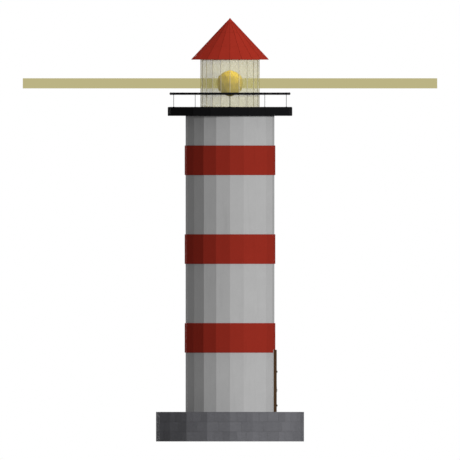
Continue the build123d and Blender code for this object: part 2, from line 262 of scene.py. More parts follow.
SETTINGS = {
    "plinth": PlinthSettings,
    "shaft": ShaftSettings,
    "gallery": GallerySettings,
    "lantern": LanternSettings,
    "roof": RoofSettings,
    "optic": OpticSettings,
    "door": DoorSettings,
    "stage": StageSettings,
}


def settings(group):
    """The scene's settings of one group."""
    return getattr(bpy.context.scene, f"lighthouse_{group}")


# ---------------------------------------------------------------- materials
#
# A noise's first number is its waves in a metre, and its second is how many finer layers it has. A bump's
# first number is its depth in metres. A number after a colour makes that colour darker or paler.


class Wire:
    """An output in a material's tree. Arithmetic on it adds Math nodes."""

    def __init__(self, tree, socket=None):
        self.tree = tree
        self.socket = socket

    def node(self, kind, options=None, sockets=None, output=0):
        """Adds a node: its options are set first, then the values or links of its sockets."""
        made = self.tree.nodes.new(kind)
        for name, value in (options or {}).items():
            setattr(made, name, value)
        for name, value in (sockets or {}).items():
            if isinstance(value, Wire):
                self.tree.links.new(value.socket, made.inputs[name])
            else:
                made.inputs[name].default_value = value
        return Wire(self.tree, made.outputs[output] if made.outputs else None)

    def maths(self, operation, *terms):
        """A Math node on these terms."""
        return self.node("ShaderNodeMath", {"operation": operation}, dict(enumerate(terms)))

    def __add__(self, other):
        return self.maths("ADD", self, other)

    def __sub__(self, other):
        return self.maths("SUBTRACT", self, other)

    def __rsub__(self, other):
        return self.maths("SUBTRACT", other, self)

    def __mul__(self, other):
        return self.maths("MULTIPLY", self, other)

    def __gt__(self, other):
        return self.maths("GREATER_THAN", self, other)

    def __lt__(self, other):
        return self.maths("LESS_THAN", self, other)

    def __abs__(self):
        return self.maths("ABSOLUTE", self)

    __radd__ = __add__
    __rmul__ = __mul__

    def root(self):
        """The square root."""
        return self.maths("SQRT", self)

    def beside(self, output):
        """Another output of the same node."""
        return Wire(self.tree, self.socket.node.outputs[output])

    def fraction(self):
        """What is left after the whole number."""
        return self.maths("FRACT", self)

    def step(self, start, end):
        """0 below the start, 1 above the end, and a smooth rise between them."""
        return self.node(
            "ShaderNodeMapRange",
            {"interpolation_type": "SMOOTHSTEP"},
            {"Value": self, "From Min": start, "From Max": end},
        )

    def parts(self):
        """The three parts of a vector."""
        split = self.node("ShaderNodeSeparateXYZ", None, {0: self})
        return [split.beside(axis) for axis in "XYZ"]

    def stretched(self, across, along):
        """This place with another scale along Z, for grain and streaks."""
        return self.node(
            "ShaderNodeVectorMath", {"operation": "MULTIPLY"}, {0: self, 1: (across, across, along)}
        )

    def noise(self, scale, detail=3.0, roughness=0.55):
        """Soft noise at this place, from 0 to 1, with this many waves in a metre."""
        return self.node(
            "ShaderNodeTexNoise",
            None,
            {"Vector": self, "Scale": scale, "Detail": detail, "Roughness": roughness},
        )

    def grains(self, scale):
        """One random number for each grain of a stone, with this many grains in a metre."""
        cells = self.node("ShaderNodeTexVoronoi", None, {"Vector": self, "Scale": scale}, "Color")
        return cells.parts()[0]

    def blend(self, first, second):
        """The first colour where this is 0, and the second where it is 1."""
        return self.node("ShaderNodeMix", {"data_type": "RGBA"}, {0: self, 6: first, 7: second}, 2)

    def shades(self, colour, dark, pale):
        """A colour times the dark factor where this is 0, and times the pale one where it is 1."""
        return self.blend(linear(colour, dark), linear(colour, pale))

    def bump(self, depth, strength=1.0):
        """A normal that follows this height, which is a share of a depth in metres."""
        return self.node("ShaderNodeBump", None, {"Height": self, "Distance": depth, "Strength": strength})


def linear(colour, factor=1.0):
    """A screen colour as the shader's own, by the sRGB curve, brightened or darkened by a factor."""
    shades = [c / 12.92 if c <= 0.04045 else ((c + 0.055) / 1.055) ** 2.4 for c in colour]
    return (*[min(1.0, shade * factor) for shade in shades], 1.0)


def new_finish(name):
    """A new material with an empty tree, and the place on the object that its patterns start from."""
    material = bpy.data.materials.new(name)
    material.use_nodes = True
    tree = material.node_tree
    tree.nodes.clear()
    place = Wire(tree).node("ShaderNodeTexCoord", output="Object")
    return material, place


def finished(material, place, **sockets):
    """Ends a material in one Principled shader with these sockets."""
    names = {key.replace("_", " ").title().replace("Ior", "IOR"): value for key, value in sockets.items()}
    shader = place.node("ShaderNodeBsdfPrincipled", None, names)
    place.node("ShaderNodeOutputMaterial", None, {"Surface": shader})
    return material


def island_shade(place):
    """A random number for each separate solid in a mesh."""
    return place.node("ShaderNodeNewGeometry", output="Random Per Island")


def granite_finish(name, colour, single=False):
    """Dressed granite: each stone a little different, with dark and pale grains and a picked face."""
    material, place = new_finish(name)
    stone = place.noise(0.5) if single else island_shade(place)
    crystal = place.grains(170.0)
    cloud = place.noise(2.5)
    body = stone.shades(colour, 0.88, 1.12)
    mottled = (cloud * 0.5).blend(body, linear(colour, 0.8))
    # About one grain in six is dark, and about one in six is pale.
    dark = (crystal > 0.82) * 0.55
    pale = (crystal < 0.16) * 0.5
    speckled = pale.blend(dark.blend(mottled, linear(colour, 0.35)), linear(colour, 2.1))
    height = place.noise(45.0) + crystal * 0.3
    return finished(
        material,
        place,
        base_color=speckled,
        roughness=place.noise(30.0) * 0.2 + 0.75,
        specular_ior_level=0.01,
        normal=height.bump(0.0025, 0.8),
    )


def mortar_finish():
    """The grey lime mortar between the stones."""
    material, place = new_finish("lime_mortar")
    sand = place.noise(260.0)
    damp, dry = linear((0.30, 0.30, 0.31)), linear((0.40, 0.40, 0.40))
    return finished(
        material,
        place,
        base_color=sand.blend(damp, dry),
        roughness=0.95,
        specular_ior_level=0.02,
        normal=sand.bump(0.001),
    )


def render_finish(name, colour, inside, shaft, roughness):
    """Painted render: a float-finished skin with fine sand and faint rain streaks, and limewash inside."""
    material, place = new_finish(name)
    x, y, z = place.parts()
    radius = (x * x + y * y).root()
    streak = place.stretched(5.0, 0.35).noise(1.0, 4.0).step(0.52, 0.78)
    cloud = place.noise(1.3)
    float_marks = place.noise(9.0, 4.0)
    patches = cloud * 0.6 + float_marks * 0.4
    skin = patches.shades(colour, 0.91, 1.07)
    weathered = (streak * shaft.stain).blend(skin, linear(colour, 0.62))
    # The wall changes from limewash to paint in its thickness, between these two shares of its outer radius.
    outer = radius.step(SHAFT_RADIUS * 0.9, SHAFT_RADIUS * 0.91)
    sand = place.noise(190.0, 2.0)
    height = sand * 0.45 + float_marks * 1.1
    return finished(
        material,
        place,
        base_color=outer.blend(linear(inside), weathered),
        roughness=roughness + sand * 0.15,
        specular_ior_level=0.005,
        normal=height.bump(shaft.stucco),
    )


def black_paint_finish(name, colour, tread=False):
    """Black gallery paint over metal: brushed on, a little worn, with raised studs where it is a tread."""
    material, place = new_finish(name)
    brush = place.noise(14.0, 4.0)
    worn = place.noise(60.0, 3.0).step(0.62, 0.72)
    colours = (worn * 0.25).blend(brush.shades(colour, 0.8, 1.2), linear(colour, 2.4))
    height = brush * 0.5 + place.noise(220.0) * 0.25
    dullness = 0.75
    gloss = 0.005
    if tread:
        height = height + tread_studs(place)
        # Feet polish the studs.
        dullness = 0.5
        gloss = 0.03
    return finished(
        material,
        place,
        base_color=colours,
        roughness=brush * 0.2 + dullness,
        specular_ior_level=gloss,
        normal=height.bump(0.0012),
    )


def tread_studs(place):
    """Raised lozenges in two directions, as rolled into a tread plate."""
    pitch = 0.06
    narrow = 0.36
    x, y, _ = place.parts()
    across = x * (1 / pitch)
    along = y * (1 / pitch)
    first = lozenge(across, along, 1.0, narrow)
    second = lozenge(across + 0.5, along + 0.5, narrow, 1.0)
    return first.maths("MAXIMUM", first, second) * 2.0


def lozenge(across, along, wide, long):
    """One raised lozenge in each cell of a grid. A size of 1 nearly fills the cell."""
    reach = 0.42
    u = abs(across.fraction() - 0.5) * (1 / (reach * wide))
    v = abs(along.fraction() - 0.5) * (1 / (reach * long))
    return 1.0 - (u + v).step(0.75, 1.0)


def bronze_finish(colour):
    """Pale bronze, brushed along the bars."""
    material, place = new_finish("pale_bronze")
    brush = place.stretched(60.0, 6.0).noise(1.0)
    return finished(
        material,
        place,
        base_color=brush.shades(colour, 0.9, 1.06),
        metallic=0.6,
        roughness=brush * 0.15 + 0.8,
        normal=brush.bump(0.0006),
    )


def glass_finish(lantern):
    """Old lantern glass: warm, slightly uneven, and half hiding what is behind it."""
    material, place = new_finish("lantern_glass")
    wave = place.noise(1.6, 2.0)
    salt = place.noise(7.0, 5.0).step(0.35, 0.9)
    # A pane is seen through its two faces.
    one_face = 1 - sqrt(1 - lantern.density)
    return finished(
        material,
        place,
        base_color=salt.shades(lantern.glass, 0.97, 1.03),
        roughness=salt * 0.1 + 0.06,
        specular_ior_level=0.04,
        alpha=salt * 0.02 + (one_face - 0.01),
        normal=wave.bump(0.004, 0.3),
    )


def roof_finish(roof):
    """Red painted sheet metal, a little faded in patches, with oil-can dents between the seams."""
    material, place = new_finish("roof_paint")
    fade = place.noise(1.8, 5.0)
    runs = place.stretched(9.0, 1.2).noise(1.0, 3.0)
    dents = place.noise(2.2, 1.0)
    brush = place.noise(90.0, 2.0)
    patches = fade.shades(roof.red, 0.93, 1.05)
    return finished(
        material,
        place,
        base_color=(runs.step(0.6, 0.8) * 0.18).blend(patches, linear(roof.red, 0.6)),
        roughness=brush * 0.2 + 0.6,
        specular_ior_level=0.01,
        normal=(dents + brush * 0.04).bump(0.006),
    )


def lens_finish(colour):
    """Amber prism glass with a deep, even colour, small seeds in it and a polished skin."""
    material, place = new_finish("amber_glass")
    seeds = place.noise(70.0, 2.0).step(0.66, 0.74)
    depth = place.noise(3.0, 2.0)
    body = depth.shades(colour, 0.97, 1.03)
    return finished(
        material,
        place,
        base_color=(seeds * 0.2).blend(body, linear(colour, 1.3)),
        roughness=depth * 0.08 + 0.3,
        specular_ior_level=0.05,
        normal=seeds.bump(0.0006),
    )


def brass_finish(colour):
    """Brass with fine lines along it, dulled by the air."""
    material, place = new_finish("polished_brass")
    lines = place.noise(160.0, 2.0)
    return finished(
        material,
        place,
        base_color=lines.shades(colour, 0.85, 1.1),
        metallic=0.8,
        roughness=lines * 0.15 + 0.55,
        normal=lines.bump(0.0003),
    )


def steel_finish(colour):
    """Turned steel with rings round it, under pale lacquer."""
    material, place = new_finish("turned_steel")
    rings = place.stretched(4.0, 900.0).noise(1.0, 1.0)
    return finished(
        material,
        place,
        base_color=rings.shades(colour, 0.9, 1.08),
        metallic=0.4,
        roughness=rings * 0.15 + 0.4,
        normal=rings.bump(0.0002),
    )


def fibres(place, shift, flat):
    """The grain of a timber that stands upright or lies flat, from 0 to 1."""
    x, y, z = place.parts()
    across, along = (z, y) if flat else (y, z)
    stretched = place.node(
        "ShaderNodeCombineXYZ", None, {0: x * 30.0 + shift, 1: across * 30.0, 2: along * 1.6}
    )
    return stretched.noise(1.0, 6.0, 0.65)


def oiled(material, colour, grain, tone):
    """Ends a timber's material: this grain in it, and a tone between dark and pale."""
    rings = (grain * 9.0).fraction()
    base = tone.shades(colour, 0.85, 1.2)
    return finished(
        material,
        grain,
        base_color=(rings * 0.45).blend(base, linear(colour, 0.55)),
        roughness=rings * 0.15 + 0.6,
        specular_ior_level=0.06,
        normal=(rings * 0.4 + grain).bump(0.0012),
    )


def board_finish(colour):
    """Upright boards, each with its own tone and its own grain."""
    material, place = new_finish("oiled_boards")
    tone = island_shade(place)
    return oiled(material, colour, fibres(place, tone * 37.0, False), tone)


def ledge_finish(colour):
    """Level ledges across the boards."""
    material, place = new_finish("oiled_ledges")
    return oiled(material, colour, fibres(place, 0.0, True), place.noise(0.8))


def frame_finish(colour):
    """The door frame: upright grain in its posts, and level grain in the members between them."""
    material, place = new_finish("oiled_frame")
    _, y, _ = place.parts()
    post = abs(y) > LEAF_HIGH.y - LEAF_LAP
    grain = fibres(place, 0.0, False) * post + fibres(place, 0.0, True) * (1 - post)
    return oiled(material, colour, grain, post * 0.25 + place.noise(0.8) * 0.6)


def iron_finish(name, colour):
    """Forged iron, blacked, with hammer marks."""
    material, place = new_finish(name)
    marks = place.noise(55.0, 2.0)
    return finished(
        material,
        place,
        base_color=marks.shades(colour, 0.7, 1.4),
        metallic=0.15,
        roughness=marks * 0.2 + 0.55,
        specular_ior_level=0.08,
        normal=marks.bump(0.0015),
    )


def flagstone_finish(colour):
    """Worn floor flags laid in straight rows, with a joint round each and each row half a flag on."""
    material, place = new_finish("floor_flags")
    x, y, _ = place.parts()
    flag = 0.42
    row = y * (1 / flag)
    shifted = x * (1 / flag) + row.maths("FLOOR", row) * 0.5
    edge_across = abs(shifted.fraction() - 0.5)
    edge_along = abs(row.fraction() - 0.5)
    joint = edge_across.maths("MAXIMUM", edge_across, edge_along).step(0.484, 0.492)
    worn = place.noise(6.0, 4.0)
    slab = worn.shades(colour, 0.85, 1.15)
    return finished(
        material,
        place,
        base_color=joint.blend(slab, linear(colour, 0.35)),
        roughness=worn * 0.2 + 0.6,
        specular_ior_level=0.06,
        normal=(worn * 0.4 - joint).bump(0.004),
    )


def dress(finish, *nodes):
    """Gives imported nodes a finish."""
    for name in nodes:
        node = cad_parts[name]
        if not node.material_slots:
            node.data.materials.append(finish)
        for slot in node.material_slots:
            slot.material = finish


# ---------------------------------------------------------------- shapes


def ring_point(radius, place, z=0.0):
    """A point on a ring of the building: whole places are its corners, and parts lie along the next facet."""
    index = floor(place)
    first = Vector((radius * cos(index * FACET), radius * sin(index * FACET), z))
    second = Vector((radius * cos((index + 1) * FACET), radius * sin((index + 1) * FACET), z))
    return first.lerp(second, place - index)


def ring_run(radius, start, end):
    """The points of a ring from one place to another, with each corner that lies between them."""
    corners = [index for index in range(ceil(start), floor(end) + 1) if start < index < end]
    return [ring_point(radius, place) for place in (start, *corners, end)]


def facet_width(radius):
    """The length of a ring's facet."""
    return 2 * radius * sin(FACET / 2)


def at_corner(index, radius, z=0.0):
    """The place at a ring's corner, X outwards and Y along the ring."""
    return Matrix.Rotation(index * FACET, 4, "Z") @ Matrix.Translation((radius, 0, z))


def at_facet(index, radius, z=0.0):
    """The place at the middle of a ring's facet, X outwards and Y along the facet."""
    return Matrix.Rotation((index + 0.5) * FACET, 4, "Z") @ Matrix.Translation((radius * APOTHEM, 0, z))


def turns(number):
    """The angles of a number of equal steps round a circle."""
    return [step * 2 * pi / number for step in range(number)]


def middles(number):
    """The middles of a number of equal parts of a line that goes from -0.5 to 0.5."""
    return [(part + 0.5) / number - 0.5 for part in range(number)]


def bridge(bm, first, second):
    """Joins two closed rows of corners with faces."""
    for index in range(len(first)):
        after = (index + 1) % len(first)
        bm.faces.new((first[index], first[after], second[after], second[index]))


def join_hoops(bm, hoops):
    """Joins each hoop of corners to the next one, and the last to the first."""
    for hoop, next_hoop in zip(hoops, hoops[1:] + hoops[:1]):
        for index in range(len(hoop)):
            after = (index + 1) % len(hoop)
            bm.faces.new((hoop[index], next_hoop[index], next_hoop[after], hoop[after]))


def ease(bm, corners, arris):
    """Takes the arris off each edge that ends in these corners."""
    edges = dict.fromkeys(edge for corner in corners for edge in corner.link_edges)
    bmesh.ops.bevel(bm, geom=list(edges), offset=arris, segments=1, affect="EDGES")


def add_prism(bm, outline, base, top, arris=0.0):
    """An upright prism over an outline."""
    lower = [bm.verts.new((point.x, point.y, base)) for point in outline]
    upper = [bm.verts.new((point.x, point.y, top)) for point in outline]
    bm.faces.new(lower[::-1])
    bm.faces.new(upper)
    bridge(bm, lower, upper)
    if arris:
        ease(bm, lower + upper, arris)


def add_block(bm, size, place, arris=0.0):
    """A rectangular block centred on a place."""
    scale = Matrix.Diagonal((*size, 1.0))
    made = bmesh.ops.create_cube(bm, size=1.0, matrix=place @ scale)
    if arris:
        ease(bm, made["verts"], arris)


def add_dome(bm, place, radius, height, sides=8, rings=2):
    """A domed head on a place, standing along its X."""
    levels = []
    for ring in range(rings):
        rise = ring / rings * pi / 2
        spread = radius * cos(rise)
        x = height * sin(rise)
        circle = [Vector((x, spread * cos(turn), spread * sin(turn))) for turn in turns(sides)]
        levels.append([bm.verts.new(place @ point) for point in circle])
    tip = bm.verts.new(place @ Vector((height, 0, 0)))
    bm.faces.new(levels[0][::-1])
    for lower, upper in zip(levels, levels[1:]):
        bridge(bm, lower, upper)
    for index in range(sides):
        bm.faces.new((levels[-1][index], levels[-1][(index + 1) % sides], tip))


def add_bead(bm, points, radius, centre, sides=8):
    """A round bead along a closed line that goes about a centre."""
    hoops = []
    for index, point in enumerate(points):
        along = (points[(index + 1) % len(points)] - points[index - 1]).normalized()
        out = point - centre
        out = (out - along * out.dot(along)).normalized()
        across = along.cross(out)
        rim = [point + out * radius * cos(turn) + across * radius * sin(turn) for turn in turns(sides)]
        hoops.append([bm.verts.new(corner) for corner in rim])
    join_hoops(bm, hoops)


def add_hoop(bm, profile):
    """A closed profile of radius and height, carried round all corners of the building."""
    hoops = []
    for index in range(SIDES):
        hoops.append([bm.verts.new(ring_point(radius, index, z)) for radius, z in profile])
    join_hoops(bm, hoops)


def roof_band(start, end, thickness):
    """The profile of a sheet that lies on the roof between two shares of its slope, counted from the apex."""
    out = Vector((ROOF_RISE, ROOF_RADIUS)) / ROOF_HIP
    upper, lower = [Vector((ROOF_RADIUS * reach, ROOF_APEX - ROOF_RISE * reach)) for reach in (start, end)]
    sunk = out * 2 * SINK
    raised = out * thickness
    return [upper - sunk, lower - sunk, lower + raised, upper + raised]


def make_piece(name, bm, finish, body=None, rounded=False):
    """Turns a mesh into a named piece, which rides on a body unless it's part of the stage."""
    bmesh.ops.recalc_face_normals(bm, faces=bm.faces)
    mesh = bpy.data.meshes.new(name)
    bm.to_mesh(mesh)
    bm.free()
    mesh.materials.append(finish)
    mesh.polygons.foreach_set("use_smooth", [rounded] * len(mesh.polygons))
    piece = bpy.data.objects.new(name, mesh)
    bpy.context.scene.collection.objects.link(piece)
    if body:
        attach(piece, body)
    return piece


# ---------------------------------------------------------------- plinth


def course_joints(course):
    """Where a course's upright joints fall along each facet, so that no joint stands over another."""
    return (0.5,) if course % 2 else (0.3, 0.7)


def add_ring_of_stones(bm, stone, radii, base, top, joints):
    """One ring of stones between two radii, with upright joints at these places on every facet."""
    outer, inner = radii
    half_joint = stone.joint / 2 / facet_width(outer)
    places = [index + joint for index in range(SIDES) for joint in joints]
    for start, end in zip(places, places[1:] + [places[0] + SIDES]):
        outside = ring_run(outer, start + half_joint, end - half_joint)
        inside = ring_run(inner, start + half_joint, end - half_joint)
        add_prism(bm, outside + inside[::-1], base, top, stone.arris)


class LIGHTHOUSE_OT_plinth(bpy.types.Operator):
    """Builds the plinth of granite courses, paving and mortar"""

    bl_idname = "lighthouse.plinth"
    bl_label = "Plinth"

    def execute(self, context):
        stone = settings("plinth")
        granite = granite_finish("dressed_granite", stone.granite)
        rise = PLINTH_TOP / stone.courses
        bm = bmesh.new()
        for course in range(stone.courses):
            base = course * rise + (stone.joint / 2 if course else 0.0)
            top = (course + 1) * rise - (stone.joint / 2 if course < stone.courses - 1 else 0.0)
            radii = (PLINTH_RADIUS, PLINTH_RADIUS - stone.bed)
            add_ring_of_stones(bm, stone, radii, base, top, course_joints(course))
        courses = make_piece("plinth_courses", bm, granite, TOWER)
        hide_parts("plinth")

        bm = bmesh.new()
        edge = PLINTH_RADIUS - stone.bed
        width = (edge - SHAFT_RADIUS) / stone.paving_rows
        base = PLINTH_TOP - stone.paving_depth
        for row in range(stone.paving_rows):
            radii = (edge - row * width - stone.joint, edge - (row + 1) * width)
            add_ring_of_stones(bm, stone, radii, base, PLINTH_TOP, course_joints(row + 1))
        make_piece("plinth_paving", bm, granite, TOWER)

        # The mortar lies behind the stones' faces, at the sides and on top, and a little over the ground.
        bm = bmesh.new()
        core = [ring_point(PLINTH_RADIUS - stone.joint_depth, index) for index in range(SIDES)]
        add_prism(bm, core, SINK, PLINTH_TOP - stone.joint_depth)
        make_piece("plinth_mortar", bm, mortar_finish(), TOWER)
        return {"FINISHED"}


# ---------------------------------------------------------------- shaft


class LIGHTHOUSE_OT_shaft(bpy.types.Operator):
    """Renders and paints the shaft and its raised bands, and lays the floor"""

    bl_idname = "lighthouse.shaft"
    bl_label = "Shaft"

    def execute(self, context):
        shaft = settings("shaft")
        walls = [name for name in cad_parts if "_wall_" in name or "_jamb_" in name]
        bands = [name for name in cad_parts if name.startswith("band_")]
        grey = render_finish("grey_render", shaft.render, shaft.limewash, shaft, roughness=0.78)
        dress(grey, *walls, "door_lintel")
        dress(render_finish("red_render", shaft.band, shaft.band, shaft, roughness=0.7), *bands)
        dress(flagstone_finish(shaft.flags), "ground_floor")
        dress(granite_finish("sill_granite", shaft.sill, single=True), "door_sill")
        return {"FINISHED"}


# ---------------------------------------------------------------- gallery


class LIGHTHOUSE_OT_gallery(bpy.types.Operator):
    """Paints the gallery black and adds its cover strips, bolts, tread plates and welds"""

    bl_idname = "lighthouse.gallery"
    bl_label = "Gallery"

    def execute(self, context):
        gallery = settings("gallery")
        metal = black_paint_finish("black_paint", gallery.black)
        dress(metal, "gallery_deck", "gallery_rail", "gallery_posts")
        self.deck_edge(gallery, metal)
        self.treads(gallery)
        self.rail(gallery, metal)
        return {"FINISHED"}

    def deck_edge(self, gallery, metal):
        """A bent cover strip on each corner of the deck's edge, and two rows of bolts along each facet."""
        margin = 0.03  # over and under the strips
        row_margin = 2.5 * margin
        bolted = 0.92  # the share of a facet that its bolts are spread over
        head = gallery.bolt_radius * 0.6
        arris = 0.002
        width = facet_width(DECK_RADIUS)
        half_strip = gallery.cover_width / 2 / width
        strips = bmesh.new()
        bolts = bmesh.new()
        for index in range(SIDES):
            start = SIDES + index - half_strip
            end = SIDES + index + half_strip
            outside = ring_run(DECK_RADIUS + gallery.cover_thickness, start, end)
            inside = ring_run(DECK_RADIUS - 2 * SINK, start, end)
            add_prism(strips, outside + inside[::-1], DECK_BASE + margin, DECK_TOP - margin, arris)
            for row in (DECK_BASE + row_margin, DECK_TOP - row_margin):
                for middle in middles(gallery.bolts_per_facet):
                    sunk = Matrix.Translation((-SINK, middle * width * bolted, 0))
                    add_dome(bolts, at_facet(index, DECK_RADIUS, row) @ sunk, gallery.bolt_radius, head)
        make_piece("deck_cover_strips", strips, metal, TOWER)
        make_piece("deck_bolts", bolts, metal, TOWER, rounded=True)

    def treads(self, gallery):
        """One tread plate on each facet of the walkway."""
        edge_margin, lantern_margin = 0.05, 0.03
        outer = DECK_RADIUS - edge_margin
        inner = LANTERN_RADIUS + lantern_margin
        gap = 0.004  # half the gap between two plates, as a share of a facet
        thickness = 0.006
        arris = 0.0015
        bm = bmesh.new()
        for index in range(SIDES):
            outside = ring_run(outer, index + gap, index + 1 - gap)
            inside = ring_run(inner, index + gap, index + 1 - gap)
            add_prism(bm, outside + inside[::-1], DECK_TOP - SINK, DECK_TOP + thickness, arris)
        studs = black_paint_finish("tread_plate", gallery.black, tread=True)
        make_piece("deck_tread_plates", bm, studs, TOWER)

    def rail(self, gallery, metal):
        """A weld bead round each mitre of the rail, and the nuts and collars of its posts."""
        steps = 24
        hexagon = 6
        beads = bmesh.new()
        for index in range(SIDES):
            place = at_corner(index, RAIL_RADIUS, RAIL_Z)
            mitre = [(RAIL_PIPE / APOTHEM * cos(turn), 0, RAIL_PIPE * sin(turn)) for turn in turns(steps)]
            points = [place @ Vector(point) for point in mitre]
            add_bead(beads, points, gallery.weld, place.translation, hexagon)
        make_piece("rail_welds", beads, metal, TOWER, rounded=True)

        foot = 0.01  # how thick a post's foot is
        bolt_circle = 0.032
        nut_radius, nut_height = 0.008, 0.007
        collar_radius, collar_wire = 0.0145, 0.005
        collar_drop = 0.004  # from the rail down to the collar
        nuts = bmesh.new()
        for index in range(1, SIDES, 2):
            foot_top = at_corner(index, RAIL_RADIUS, DECK_TOP + foot)
            for quarter in range(4):
                turn = Matrix.Rotation(quarter * pi / 2 + pi / 4, 4, "Z")
                place = foot_top @ turn @ Matrix.Translation((bolt_circle, 0, 0)) @ UPRIGHT
                add_dome(nuts, place, nut_radius, nut_height, sides=hexagon)
            top = at_corner(index, RAIL_RADIUS, RAIL_Z - RAIL_PIPE - collar_drop)
            collar = [(collar_radius * cos(turn), collar_radius * sin(turn), 0) for turn in turns(steps)]
            add_bead(nuts, [top @ Vector(point) for point in collar], collar_wire, top.translation, hexagon)
        make_piece("post_fixings", nuts, metal, TOWER)


# ---------------------------------------------------------------- lantern


class LIGHTHOUSE_OT_lantern(bpy.types.Operator):
    """Glazes the lantern and adds its beads and screws"""

    bl_idname = "lighthouse.lantern"
    bl_label = "Lantern"

    def execute(self, context):
        lantern = settings("lantern")
        bronze = bronze_finish(lantern.bronze)
        dress(glass_finish(lantern), "lantern_glass")
        dress(bronze, "lantern_bars", "lantern_sills", "lantern_heads")
        self.beads(lantern, bronze)
        self.screws(lantern, bronze)
        return {"FINISHED"}

    def beads(self, lantern, bronze):
        """Four beads round the outside of each pane."""
        bm = bmesh.new()
        # The panes end at the bars' sides, and without the bars their outer faces would meet at this radius.
        pane_radius = high("lantern_glass").x + lantern.bar_width / 2 * tan(FACET / 2)
        half_width = facet_width(pane_radius) / 2 - lantern.bar_width / 2
        middle = (PANE_BASE + PANE_TOP) / 2
        height = PANE_TOP - PANE_BASE
        depth = lantern.bead_depth
        arris = 0.0015
        for index in range(SIDES):
            place = at_facet(index, pane_radius, middle) @ Matrix.Translation((depth / 2, 0, 0))
            for side in (-1, 1):
                upright = Matrix.Translation((0, side * (half_width - lantern.bead / 2), 0))
                add_block(bm, (depth, lantern.bead, height), place @ upright, arris)
                level = Matrix.Translation((0, 0, side * (height - lantern.bead) / 2))
                add_block(bm, (depth, 2 * (half_width - lantern.bead), lantern.bead), place @ level, arris)
        make_piece("glazing_beads", bm, bronze, TOWER)

    def screws(self, lantern, bronze):
        """A line of screw heads up each corner bar."""
        bm = bmesh.new()
        rows = int((LANTERN_TOP - DECK_TOP) / lantern.screw_pitch)
        head = 0.0025
        for index in range(SIDES):
            for row in range(rows):
                z = DECK_TOP + (row + 0.5) * (LANTERN_TOP - DECK_TOP) / rows
                add_dome(bm, at_corner(index, LANTERN_RADIUS, z), lantern.screw_radius, head, sides=6)
        make_piece("lantern_screws", bm, bronze, TOWER, rounded=True)


# ---------------------------------------------------------------- roof


class LIGHTHOUSE_OT_roof(bpy.types.Operator):
    """Covers the roof in painted sheets with standing seams, laps, a cap and a rolled edge"""

    bl_idname = "lighthouse.roof"
    bl_label = "Roof"

    def execute(self, context):
        roof = settings("roof")
        metal = roof_finish(roof)
        dress(metal, "roof_shell", "roof_eaves")
        self.seams(roof, metal)
        self.laps(roof, metal)
        self.cap(roof, metal)
        self.edge(roof, metal)
        return {"FINISHED"}

    def seams(self, roof, metal):
        """A standing seam along each hip, from the eaves up to the cap."""
        slope = Matrix.Rotation(atan2(ROOF_RISE, ROOF_RADIUS), 4, "Y")
        run = ROOF_HIP - roof.cap_reach
        sunk = 0.004
        arris = 0.003
        bm = bmesh.new()
        for index in range(SIDES):
            apex = Matrix.Rotation(index * FACET, 4, "Z") @ Matrix.Translation((0, 0, ROOF_APEX))
            middle = Matrix.Translation((roof.cap_reach + run / 2, 0, roof.seam_height / 2 - sunk))
            add_block(bm, (run, roof.seam_width, roof.seam_height), apex @ slope @ middle, arris)
        make_piece("roof_seams", bm, metal, TOWER)

    def laps(self, roof, metal):
        """A flat welt round the roof wherever one row of sheets laps the next."""
        width = 0.014  # as a share of the slope
        thickness = 0.004
        bm = bmesh.new()
        for lap in range(roof.laps):
            reach = (lap + 1) / (roof.laps + 1)
            add_hoop(bm, roof_band(reach, reach + width, thickness))
        make_piece("roof_laps", bm, metal, TOWER)

    def cap(self, roof, metal):
        """A cap of one sheet over the point where the seams meet, with a knob over its middle."""
        lap = 0.03  # how far the cap reaches over the seams
        hole = 0.004  # under the knob, as a share of the slope
        thickness = 0.007
        knob_radius, knob_height = 0.03, 0.022
        knob_drop = 0.012  # from the apex down to the knob's base
        bm = bmesh.new()
        add_hoop(bm, roof_band(hole, (roof.cap_reach + lap) / ROOF_HIP, thickness))
        place = Matrix.Translation((0, 0, ROOF_APEX - knob_drop)) @ UPRIGHT
        add_dome(bm, place, knob_radius, knob_height, sides=SIDES, rings=4)
        make_piece("roof_cap", bm, metal, TOWER)

    def edge(self, roof, metal):
        """The rolled edge of the eaves, and a row of rivets above it."""
        bead = roof.bead
        height = low("roof_eaves").z + bead
        steps = 10
        bm = bmesh.new()
        add_hoop(bm, [(ROOF_RADIUS + bead * cos(turn), height + bead * sin(turn)) for turn in turns(steps)])
        make_piece("eaves_bead", bm, metal, TOWER, rounded=True)

        reach = 0.97  # where the row lies, as a share of the slope
        per_facet = 7
        riveted = 0.94  # the share of a facet that its rivets are spread over
        rivet_radius, rivet_height = 0.007, 0.004
        width = facet_width(ROOF_RADIUS * reach)
        pitch = atan2(ROOF_RISE, ROOF_RADIUS * APOTHEM)
        tilt = Matrix.Rotation(pitch - pi / 2, 4, "Y")
        rivets = bmesh.new()
        for index in range(SIDES):
            facet = at_facet(index, ROOF_RADIUS * reach, ROOF_APEX - ROOF_RISE * reach)
            for middle in middles(per_facet):
                place = facet @ Matrix.Translation((0, middle * width * riveted, 0)) @ tilt
                add_dome(rivets, place, rivet_radius, rivet_height, sides=6)
        make_piece("roof_rivets", rivets, metal, TOWER, rounded=True)


# ---------------------------------------------------------------- optic


